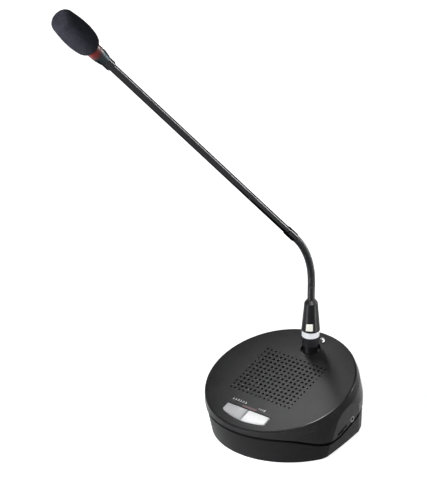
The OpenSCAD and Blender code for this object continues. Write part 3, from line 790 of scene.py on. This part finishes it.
@dataclass
class Loudspeaker(SubAssembly):
    """The loudspeaker under the grille, with the cloth that hides it."""

    deck: DeckFrame

    def finishes(self) -> Dressing:
        """Painted basket, paper cone, plated magnet and black cloth."""
        return {
            PaintedMetal("basket_paint", Tone(84, 85, 88)): ("speaker_frame",),
            PressedPaper("cone_paper", Tone(34, 34, 35), fibre=1.2 * MM): ("speaker_cone",),
            PlatedMetal("magnet_plating", Tone(130, 131, 135), roughness=0.4): ("speaker_magnet",),
            WovenCloth("grille_weave", Tone(14, 14, 15), tilt=self.deck.tilt): ("grille_cloth",),
        }


class Mark(Enum):
    """The plain signs printed beside the keys."""

    CHEVRONS = "priority_chevrons"
    WAVES = "talk_waves"


@dataclass
class Keys(SubAssembly):
    """The two keys with their board and switches, the lamp window and the printed signs."""

    deck: DeckFrame
    line_width: float = 0.5 * MM
    ink: float = 0.04 * MM
    sign_height: float = 2.4 * MM
    chevron_count: int = 6
    chevron_step: float = 3.0 * MM
    chevrons_at: Pair = (-18.0 * MM, -42.4 * MM)
    wave_count: int = 4
    wave_points: int = 13
    first_wave: float = 0.35
    wave_step: float = 1.9 * MM
    wave_opening: float = math.radians(50)
    waves_at: Pair = (6.0 * MM, -43.8 * MM)

    def finishes(self) -> Dressing:
        """Grey and white keys, a dark red window, and the board and switches under them."""
        cap = {"gains": (0.97, 1.03), "roughness": 0.7, "specular": 0.0, "grain": 0.3 * MM}
        return {
            MouldedPlastic("grey_key_cap", Tone(172, 173, 174), **cap): ("key_priority",),
            MouldedPlastic("white_key_cap", Tone(222, 223, 224), **cap): ("key_talk",),
            TintedPlastic("window_red", Tone(66, 16, 20), roughness=0.45): ("indicator_window",),
            MouldedPlastic("led_clear", Tone(190, 160, 150), roughness=0.2): ("indicator_led",),
            CircuitBoard("key_board_mask", Tone(36, 84, 52), tilt=self.deck.tilt): ("key_board",),
            MouldedPlastic("switch_black", Tone(30, 30, 32)): ("tact_switches",),
        }

    def shapes(self) -> None:
        """Prints a row of chevrons by the left key and growing sound waves by the right one."""
        ink = PressedPaper("sign_ink", Tone(214, 214, 214), roughness=0.5)
        for mark, lines in ((Mark.CHEVRONS, self.chevrons()), (Mark.WAVES, self.waves())):
            for number, line in enumerate(lines, start=1):
                piece = self.ribbon(f"{mark.value}_{number}", line)
                dress(piece, ink)
                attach(piece, "base")

    def chevrons(self) -> list[np.ndarray]:
        """Lines that point right, each two straight strokes that meet in a corner.

        Returns:
            Each line as rows of u and v.
        """
        u0, v0 = self.chevrons_at
        half = self.sign_height / 2.0
        middle = (self.chevron_count - 1) / 2.0
        corner = np.array([[-half / 2.0, -half], [half / 2.0, 0.0], [-half / 2.0, half]])
        shift = (np.arange(self.chevron_count) - middle) * self.chevron_step
        return [corner + (u0 + s, v0) for s in shift]

    def waves(self) -> list[np.ndarray]:
        """Arcs in a row, each a step further right and larger than the last.

        Point = place + number * step to the right + radius * (cos, sin of angle).

        Returns:
            Each arc as rows of u and v.
        """
        u0, v0 = self.waves_at
        angle = np.linspace(-self.wave_opening, self.wave_opening, self.wave_points)
        arc = np.stack([np.cos(angle), np.sin(angle)], axis=-1)
        height = self.sign_height / 2.0 / math.sin(self.wave_opening)
        reach = np.linspace(self.first_wave, 1.0, self.wave_count) * height
        shift = np.arange(self.wave_count) * self.wave_step
        return [arc * r + (u0 + s, v0) for r, s in zip(reach, shift)]

    def ribbon(self, name: str, line: np.ndarray) -> bpy.types.Object:
        """A flat stroke of ink: a line on the deck, half a width to each side of it.

        At each point the side direction is square to the mean of the strokes that meet there,
        and longer at a corner, so that the stroke keeps its width.

        Args:
            name: Name of the piece.
            line: Rows of u and v.

        Returns:
            The piece.
        """
        legs = unit(np.diff(line, axis=0))
        before, after = np.vstack([legs[:1], legs]), np.vstack([legs, legs[-1:]])
        mean = unit(before + after)
        stretch = 1.0 / np.einsum("ij,ij->i", mean, after)
        square = np.stack([-mean[:, 1], mean[:, 0]], axis=-1)
        side = square * stretch[:, None] * self.line_width / 2.0
        u, v = np.moveaxis(np.stack([line - side, line + side], axis=1), -1, 0)
        return plate(name, self.deck.at(u, v, self.ink), self.deck.at(u, v, -self.ink / 2.0))


@dataclass
class SideControls(SubAssembly):
    """The main board with the volume control and the earphone jack at the right-hand side."""

    deck: DeckFrame

    def finishes(self) -> Dressing:
        """Green board, black controls and a pale ring round the jack."""
        return {
            CircuitBoard("main_board_mask", Tone(34, 88, 54), tilt=self.deck.tilt, track=3.2 * MM):
                ("main_board",),
            MouldedPlastic("control_black", Tone(9, 9, 10), roughness=0.5, specular=0.05):
                ("volume_wheel", "volume_pot"),
            PlatedMetal("jack_plating", Tone(128, 129, 131), roughness=0.25): ("earphone_jack",),
        }


@dataclass
class SocketAndPlug(SubAssembly):
    """The socket in the deck, its release tab, and the plug with its boot and label."""

    label_width: float = 7.2 * MM
    label_height: float = 7.4 * MM
    label_lift: float = 2.5 * MM
    label_turn: float = math.radians(-61)
    label_thickness: float = 0.12 * MM
    label_rows: int = 9
    label_columns: int = 13
    same_place: float = 0.01 * MM
    above_foot: float = 1.0 * MM
    narrowest: float = 0.7

    def finishes(self) -> Dressing:
        """Black socket, collar and boot, a pale band and tab, and plated contacts."""
        return {
            MouldedPlastic("socket_black", Tone(26, 26, 28), roughness=0.45):
                ("mic_socket", "socket_insert"),
            PlatedMetal("contact_gold", Tone(214, 182, 112), roughness=0.25):
                ("socket_contacts", "plug_pins"),
            MouldedPlastic("tab_silver", Tone(216, 218, 217), roughness=0.35, specular=0.5):
                ("release_tab",),
            PlatedMetal("barrel_black_nickel", Tone(34, 34, 36), roughness=0.35): ("plug_barrel",),
            Rubber("collar_rubber", Tone(26, 26, 30), roughness=0.55, specular=0.08):
                ("plug_collar",),
            MouldedPlastic("band_white", Tone(234, 237, 241), gains=(0.97, 1.03), roughness=0.4):
                ("plug_band",),
            MouldedPlastic("boot_black", Tone(11, 12, 15), roughness=0.36, specular=0.12,
                           grain=0.8 * MM, depth=0.008 * MM): ("plug_boot",),
        }

    def shapes(self) -> None:
        """Sticks the blank label on the boot."""
        label = self.label()
        dress(label, PressedPaper("label_paper", Tone(252, 252, 241), roughness=0.55))
        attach(label, "mic_plug")

    def boot_axis(self) -> np.ndarray:
        """The boot's upright axis, as seen from above: the middle of its box."""
        low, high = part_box("plug_boot")
        return np.array(low + high)[:2] / 2.0

    def boot_radius(self, height: np.ndarray) -> np.ndarray:
        """The boot's radius at heights on its straight taper.

        The taper runs from the top of the widest place to the highest place that still has a
        set share of that width.

        Args:
            height: Heights above the desk.

        Returns:
            The radius at each height.
        """
        points = node_points("plug_boot")
        level = points[:, 2]
        reach = np.linalg.norm(points[:, :2] - self.boot_axis(), axis=1)
        widest = reach.max()
        foot = level[reach > widest - self.same_place].max()
        wide_enough = reach > self.narrowest * widest
        top = level[(level > foot + self.above_foot) & wide_enough].max()
        at_top = reach[np.abs(level - top) < self.same_place].max()
        return np.interp(height, [foot, top], [widest, at_top])

    def label(self) -> bpy.types.Object:
        """A square wrapped round the boot: point = axis + radius(height) * (cos, sin of angle)."""
        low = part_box("plug_boot")[0].z + self.label_lift
        height = low + np.linspace(0.0, self.label_height, self.label_rows)
        radius = self.boot_radius(height)
        half = self.label_width / 2.0 / radius.mean()
        angle = self.label_turn + np.linspace(-half, half, self.label_columns)
        ring = np.stack([np.cos(angle), np.sin(angle)], axis=-1)

        def side(lift: float) -> np.ndarray:
            """One side of the label, lifted off the boot."""
            plan = self.boot_axis() + (radius + lift)[:, None, None] * ring[None, :, :]
            level = np.broadcast_to(height[:, None, None], plan.shape[:2] + (1,))
            return np.concatenate([plan, level], axis=-1)

        return plate("boot_label", side(self.label_thickness), side(-self.label_thickness))


@dataclass
class Gooseneck(SubAssembly):
    """The wound neck: one smooth tube, cut in mid link into one piece a joint."""

    stem: StemAxis
    links: int = 8
    sides: int = 40
    rib_pitch: float = 1.25 * MM
    rib_depth: float = 0.16 * MM
    rows_per_rib: int = 6
    into_boot: float = 3.0 * MM
    into_coupling: float = 4.0 * MM
    past_tip: float = 9.0 * MM
    span_points: int = 40

    def finishes(self) -> Dressing:
        """The links themselves are hidden by the skin."""
        return {}

    def joints(self) -> np.ndarray:
        """The places of the neck's joints, from the boot upwards."""
        found = [j["pos_m"] for j in frame["joints"] if j["name"].startswith("gooseneck")]
        return np.array(sorted(found, key=lambda place: place[2]))

    def radius(self) -> float:
        """Half the width of an upright link."""
        low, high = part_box("gooseneck_link_1")
        return (high.x - low.x) / 2.0

    def centre_line(self) -> np.ndarray:
        """A smooth line through the joints.

        Each span is a cubic between two joints. Its slope at a joint points from the joint before
        to the joint after, and is as long as the span's own chord.

        Returns:
            Closely spaced points from inside the boot to inside the coupling.
        """
        joints = self.joints()
        step = joints[1] - joints[0]
        low = joints[0] - step
        foot = low - unit(step) * self.into_boot
        tip = self.stem.start + self.stem.way * self.into_coupling
        past = tip + self.stem.way * self.past_tip
        knots = np.vstack([foot - step, foot, low, joints, tip, past])
        share = np.linspace(0.0, 1.0, self.span_points, endpoint=False)[:, None]
        s2, s3 = share ** 2, share ** 3
        spans = []
        for k in range(1, len(knots) - 2):
            a, b = knots[k], knots[k + 1]
            chord = np.linalg.norm(b - a)
            slope_a = unit(b - knots[k - 1]) * chord
            slope_b = unit(knots[k + 2] - a) * chord
            spans.append((2 * s3 - 3 * s2 + 1) * a + (s3 - 2 * s2 + share) * slope_a
                         + (3 * s2 - 2 * s3) * b + (s3 - s2) * slope_b)
        return np.vstack(spans + [tip[None, :]])

    def shapes(self) -> None:
        """Cuts the tube into one piece a joint, each from mid link to mid link."""
        wound = PaintedMetal("neck_black", Tone(22, 22, 26), roughness=0.26, specular=0.22)
        line = even_steps(self.centre_line(), self.rib_pitch / self.rows_per_rib)
        rings = self.skin(line)
        joints = self.joints()
        middles = (joints[:-1] + joints[1:]) / 2.0
        cuts = [int(np.linalg.norm(line - m, axis=1).argmin()) for m in middles]
        first = [0] + cuts
        last = cuts + [len(line) - 1]
        for i in range(self.links):
            piece = closed_rings(f"gooseneck_skin_{i + 1}", rings[first[i]:last[i] + 1])
            dress(piece, wound)
            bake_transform(piece)
            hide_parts(f"gooseneck_link_{i + 1}")

    def skin(self, line: np.ndarray) -> np.ndarray:
        """Rings along the line: point = centre + (radius - groove) * ring.

        The groove repeats along the line: zero on top of each winding, deepest between two, as
        the fourth power of a cosine. All rings keep the direction square to the neck's plane.

        Args:
            line: Centres of the rings.

        Returns:
            A grid of rings.
        """
        turns = distance_along(line) / self.rib_pitch
        groove = self.rib_depth * np.cos(math.pi * turns) ** 4
        square = unit(np.cross(UP, self.stem.way))
        other = np.cross(unit(np.gradient(line, axis=0)), square)
        angle = np.linspace(0.0, FULL_TURN, self.sides, endpoint=False)
        ring = (np.cos(angle)[None, :, None] * square[None, None, :]
                + np.sin(angle)[None, :, None] * other[:, None, :])
        return line[:, None, :] + (self.radius() - groove)[:, None, None] * ring


@dataclass
class MicrophoneHead(SubAssembly):
    """The stem with its coupling, and the head: sleeve, cone, lamp ring, capsule and windscreen."""

    stem: StemAxis
    lamp_fade: float = 0.55
    foot_radius: float = 8.6 * MM
    tip_radius: float = 11.6 * MM
    flat_radius: float = 5.0 * MM
    taper: float = 22.0 * MM
    dome: float = 6.5 * MM
    hem: float = 1.0 * MM
    hem_width: float = 0.6 * MM
    pole: float = 0.01 * MM
    arc_points: int = 24
    pocket_clear: float = 0.4 * MM
    cell_step: float = 0.4 * MM
    cell_waves: int = 48
    cell_size: Pair = (0.9 * MM, 1.8 * MM)
    cell_depth: float = 0.09 * MM
    smooth_inside: float = 6.5 * MM
    smooth_blend: float = 1.5 * MM
    tip_blend: float = 2.0 * MM
    sides: int = 192
    seed: int = 11

    def finishes(self) -> Dressing:
        """Satin black stem and cone, a dark red ring and a plated capsule."""
        return {
            BlackOxide("stem_black", Tone(50, 50, 51), roughness=0.18):
                ("stem_tube", "stem_coupling", "neck_sleeve"),
            BlackOxide("cone_black", Tone(46, 51, 53), roughness=0.34): ("neck_cone",),
            self.lamp_finish(): ("lamp_ring",),
            PlatedMetal("capsule_metal", Tone(170, 171, 174)): ("mic_capsule",),
        }

    def lamp_finish(self) -> Finish:
        """Red next to the foam, and a dark greyed red that fades in over the half by the cone."""
        start, end = self.stem.reach("lamp_ring")
        base = float(self.stem.start @ self.stem.way)
        return TintedPlastic("lamp_red", Tone(110, 20, 20), far_tone=Tone(46, 30, 31),
                             way=tuple(float(c) for c in self.stem.way), far=base + start,
                             near=base + start + self.lamp_fade * (end - start))

    def shapes(self) -> None:
        """Pulls the foam windscreen over the capsule."""
        foam = closed_rings("foam_windscreen", self.foam())
        dress(foam, OpenFoam("foam_black", Tone(70, 71, 80)))
        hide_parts("windscreen")
        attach(foam, "stem")

    def profile(self) -> np.ndarray:
        """The foam's half section, from the pocket's end round the outside to the tip.

        The pocket is a straight bore. The foot swells as a quarter of an ellipse to the widest
        place, the body draws in again as a cosine, and the end is a quarter of another ellipse
        round a flat middle.

        Returns:
            Rows of radius and distance along the stem.
        """
        start, end = self.stem.reach("windscreen")
        radius = self.stem.radius("windscreen") - 2 * self.cell_depth
        pocket_r = self.stem.radius("mic_capsule") + self.pocket_clear
        pocket_end = self.stem.reach("mic_capsule")[1] + self.pocket_clear
        turn = np.linspace(0.0, math.pi / 2.0, self.arc_points)
        rise = self.hem + (self.taper - self.hem) * (1.0 - np.cos(turn))
        foot = np.stack([self.foot_radius + (radius - self.foot_radius) * np.sin(turn),
                         start + rise], axis=-1)
        tip = self.tip_radius - 2 * self.cell_depth
        body = np.stack([tip + (radius - tip) * np.cos(turn),
                         np.linspace(start + self.taper, end - self.dome, len(turn))], axis=-1)
        dome = np.stack([self.flat_radius + (tip - self.flat_radius) * np.cos(turn),
                         end - self.dome * (1.0 - np.sin(turn))], axis=-1)
        inside = np.array([[self.pole, pocket_end], [pocket_r, pocket_end], [pocket_r, start],
                           [self.foot_radius - self.hem_width, start]])
        last = np.array([[self.pole, end]])
        return even_steps(np.vstack([inside, foot, body[1:-1], dome, last]), self.cell_step)

    def foam(self) -> np.ndarray:
        """The revolved section, pushed in and out by its cells.

        The push is the sum of many cosine waves of random direction, length and phase, scaled to
        the depth of a cell, and it fades to nothing inside the pocket and at the two ends.

        Returns:
            A grid of rings.
        """
        profile = self.profile()
        grid = self.stem.revolve(profile, self.sides)
        middle = self.stem.start + np.outer(profile[:, 1], self.stem.way)
        outward = unit(grid - middle[:, None, :])
        draw = np.random.default_rng(self.seed)
        way = draw.normal(size=(3, self.cell_waves))
        way /= np.linalg.norm(way, axis=0)
        length = draw.uniform(*self.cell_size, size=self.cell_waves)
        phase = draw.uniform(0.0, FULL_TURN, size=self.cell_waves)
        waves = np.cos(grid @ (way * FULL_TURN / length) + phase)
        push = waves.sum(axis=-1) / math.sqrt(self.cell_waves) * self.cell_depth * math.sqrt(2.0)
        radius, along = profile[:, 0], profile[:, 1]
        fade = np.clip((radius - self.smooth_inside) / self.smooth_blend, 0.0, 1.0)
        tip = np.clip(radius / self.tip_blend, 0.0, 1.0) * (along > along.mean())
        return grid + (push * np.maximum(fade, tip)[:, None])[..., None] * outward


class LampUse(Enum):
    """What a lamp shows on."""

    ALL = "all surfaces"
    SHEEN = "gloss alone"
    COLOUR = "matt colour alone"


@dataclass
class Softbox:
    """A flat lamp that faces a point. Its spread is the angle of its beam, in degrees."""

    name: str
    place: Triple
    aim: Triple
    size: Pair
    power: float
    use: LampUse = LampUse.ALL
    spread: float = 180.0

    def build(self) -> None:
        """Hangs the lamp in its place and turns it to its aim."""
        lamp = bpy.data.lights.new(self.name, "AREA")
        lamp.shape = "RECTANGLE"
        lamp.size, lamp.size_y = self.size
        lamp.energy = self.power
        lamp.spread = math.radians(self.spread)
        stand = bpy.data.objects.new(self.name, lamp)
        stand.location = self.place
        stand.visible_camera = False
        stand.visible_diffuse = self.use is not LampUse.SHEEN
        stand.visible_glossy = self.use is not LampUse.COLOUR
        beam = Vector(self.aim) - Vector(self.place)
        stand.rotation_euler = beam.to_track_quat("-Z", "Y").to_euler()
        bpy.context.scene.collection.objects.link(stand)
        LOG.info("lamp %s: %.3f W on %s", self.name, self.power, self.use.value)


@dataclass
class Studio:
    """A pale floor, a white surround, soft lamps, and the camera at the photograph's place."""

    azimuth: float = math.radians(38.5227)
    elevation: float = math.radians(25.5827)
    distance: float = 3.0
    pivot: Triple = (0.0, 0.0, 58.0 * MM)
    aim_right: float = -64.936 * MM
    aim_up: float = 132.737 * MM
    focal_pixels: float = 3092.51
    photo_height: float = 485.0
    sensor: float = 36.0
    floor_half: float = 9.0
    floor_drop: float = 0.2 * MM
    floor_left_glow: float = 1.15
    floor_right_glow: float = 0.75
    floor_fade: Pair = (-0.4, 0.4)
    floor_albedo: float = 0.6
    fill_level: float = 0.14

    def build(self) -> None:
        """Sets up everything round the object."""
        bpy.context.scene.view_settings.view_transform = "Standard"
        self.surround()
        self.floor()
        self.camera()
        for lamp in self.lamps():
            lamp.build()

    def lamps(self) -> list[Softbox]:
        """One large softbox at each side of the camera, and small lamps with one task each.

        Two narrow ones lift the matt colour of the keys and of the release tab. The others show
        only as sheen: on the deck, along its rim, along the stem and down both sides of the boot.

        Returns:
            The lamps.
        """
        head, stem, boot = (0.0, -0.1, 0.3), (-0.03, -0.08, 0.33), (0.0, 0.048, 0.1)
        keys, tab = (-0.01, -0.045, 0.047), (0.005, 0.062, 0.078)
        deck, deck_right = (0.0, 0.0, 0.05), (0.09, -0.058, 0.04)
        tall, small, strip, card = (0.25, 0.8), (0.12, 0.12), (0.1, 0.5), (0.22, 0.1)
        sheen, colour = LampUse.SHEEN, LampUse.COLOUR
        return [
            Softbox("left_side", (-0.3, -1.6, 0.5), head, tall, 24.0),
            Softbox("right_side", (1.6, -0.1, 0.5), head, tall, 3.0),
            Softbox("key_light", (0.1, -0.35, 0.9), keys, (0.05, 0.05), 0.03, colour, 12.0),
            Softbox("tab_light", (0.275, -0.03, 0.278), tab, (0.03, 0.03), 0.004, colour, 4.0),
            Softbox("deck_sheen", (-0.19, 0.117, 0.415), deck_right, small, 1.1, sheen),
            Softbox("rim_sheen", (0.35, -0.1, 1.2), deck, small, 220.0, sheen),
            Softbox("stem_sheen", (0.52, 0.75, 0.26), stem, strip, 9.0, sheen),
            Softbox("left_card", (-0.11, -0.231, 0.03), boot, card, 0.04, sheen, 16.0),
            Softbox("right_card", (0.285, 0.143, 0.03), boot, card, 0.045, sheen, 16.0),
        ]

    def surround(self) -> None:
        """White to the camera and in reflections, and a weaker fill light otherwise."""
        world = bpy.data.worlds.new("surround")
        bpy.context.scene.world = world
        web = NodeWeb(world)
        backdrop = web.tree.nodes["Background"].inputs
        web.feed(backdrop["Color"], WHITE)
        web.feed(backdrop["Strength"], web.span(self.seen(web), self.fill_level, 1.0))

    def seen(self, web: NodeWeb) -> Socket:
        """One where a ray comes from the camera, or by way of gloss or glass, or else zero."""
        path = web.add("ShaderNodeLightPath").outputs
        gloss = web.calc("MAXIMUM", path["Is Camera Ray"], path["Is Glossy Ray"])
        return web.calc("MAXIMUM", gloss, path["Is Transmission Ray"])

    def floor(self) -> None:
        """A wide plain sheet that takes the shadow, with a glow that lifts it to white."""
        half = self.floor_half
        corners = [(-half, -half), (half, -half), (half, half), (-half, half)]
        mesh = bpy.data.meshes.new("floor")
        mesh.from_pydata([(x, y, -self.floor_drop) for x, y in corners], [], [(0, 1, 2, 3)])
        floor = bpy.data.objects.new("floor", mesh)
        bpy.context.scene.collection.objects.link(floor)
        mesh.materials.append(self.floor_white())

    def floor_white(self) -> bpy.types.Material:
        """A matt sheet that glows where it is seen, more on the left than on the right."""
        material = bpy.data.materials.new("floor_white")
        web = NodeWeb(material)
        web.tree.nodes.remove(web.tree.nodes["Principled BSDF"])
        sheet = web.add("ShaderNodeBsdfDiffuse", {"Color": (self.floor_albedo,) * 3 + (1.0,)})
        place = web.add("ShaderNodeTexCoord").outputs["Object"]
        x = web.add("ShaderNodeSeparateXYZ", {0: place}).outputs["X"]
        level = web.span(x, self.floor_left_glow, self.floor_right_glow, *self.floor_fade)
        seen = web.calc("MULTIPLY", self.seen(web), level)
        glow = web.add("ShaderNodeEmission", {"Strength": seen})
        both = web.add("ShaderNodeAddShader", {0: sheet.outputs[0], 1: glow.outputs[0]})
        web.feed(web.tree.nodes["Material Output"].inputs["Surface"], both.outputs[0])
        return material

    def camera(self) -> None:
        """Puts the camera where the photograph was taken from."""
        a, e = self.azimuth, self.elevation
        right = Vector((math.cos(a), math.sin(a), 0.0))
        back = Vector((math.sin(a) * math.cos(e), -math.cos(a) * math.cos(e), math.sin(e)))
        up = back.cross(right)
        lens = bpy.data.cameras.new("camera")
        lens.sensor_width = self.sensor
        lens.lens = self.focal_pixels * self.sensor / self.photo_height
        camera = bpy.data.objects.new("camera", lens)
        aim = Vector(self.pivot) + self.aim_right * right + self.aim_up * up
        turn = Matrix((right, up, back)).transposed().to_4x4()
        camera.matrix_world = Matrix.Translation(aim + self.distance * back) @ turn
        bpy.context.scene.collection.objects.link(camera)
        bpy.context.scene.camera = camera


def main() -> None:
    """Builds the studio and each sub-assembly in turn."""
    logging.basicConfig(level=logging.INFO, format="%(message)s")
    Studio().build()
    deck, stem = DeckFrame(), StemAxis()
    groups = (Casing(deck), Loudspeaker(deck), Keys(deck), SideControls(deck), SocketAndPlug(),
              Gooseneck(stem), MicrophoneHead(stem))
    for group in groups:
        group.build()


if __name__ == "__main__":
    main()
